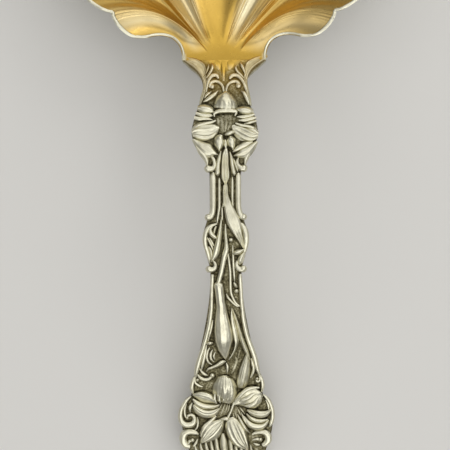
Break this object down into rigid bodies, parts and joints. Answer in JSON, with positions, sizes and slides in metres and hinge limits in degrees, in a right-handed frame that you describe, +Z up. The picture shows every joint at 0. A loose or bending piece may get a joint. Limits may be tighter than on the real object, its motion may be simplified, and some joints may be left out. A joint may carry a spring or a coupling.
{
  "type": "berry spoon",
  "caption": "Large serving spoon with a lobed, fluted and gilt-lined bowl and an arched silver handle in lily and scroll relief.",
  "frame": {"origin": "centre of the spoon's length and width, on the table it lies on", "axes": "+Y along the spoon towards the bowl's tip, +Z up out of the bowl, +X to the right with the handle towards the viewer"},
  "size_m": [0.0872, 0.212, 0.0276],
  "materials": {
    "silver": "old polished sterling silver, dark in the recesses",
    "gilt": "soft satin gold wash"
  },
  "bodies": {
    "root": {"bowl": "silver", "gilt_lining": "gilt", "heel_drop": "silver", "handle_plate": "silver", "crest_wing_left": "silver", "crest_wing_right": "silver", "crest_leaf_left": "silver", "crest_leaf_right": "silver", "crest_scroll_left": "silver", "crest_scroll_right": "silver", "crest_tongue": "silver", "small_lily_hood": "silver", "small_lily_lobe_left": "silver", "small_lily_lobe_right": "silver", "small_lily_petal_left": "silver", "small_lily_petal_right": "silver", "small_lily_lip": "silver", "sheath_left": "silver", "sheath_right": "silver", "sheath_hook_left": "silver", "sheath_hook_right": "silver", "pendant": "silver", "upper_rail_left": "silver", "upper_rail_right": "silver", "long_leaf": "silver", "short_leaf": "silver", "knop_frame_left": "silver", "knop_frame_right": "silver", "flower_stems": "silver", "lower_rail_left": "silver", "lower_rail_right": "silver", "lily_bud": "silver", "slender_leaf": "silver", "broad_leaf": "silver", "tendril_left": "silver", "tendril_right": "silver", "lily_top_petal": "silver", "lily_left_petal": "silver", "lily_left_fold": "silver", "lily_lower_left_petal": "silver", "lily_lower_right_petal": "silver", "lily_right_petal": "silver", "lily_upper_right_petal": "silver", "lily_pistil": "silver", "lily_stamens": "silver", "side_scroll_left": "silver", "side_scroll_right": "silver", "end_scroll_left": "silver", "end_scroll_right": "silver", "end_fan": "silver"}
  },
  "joints": []
}
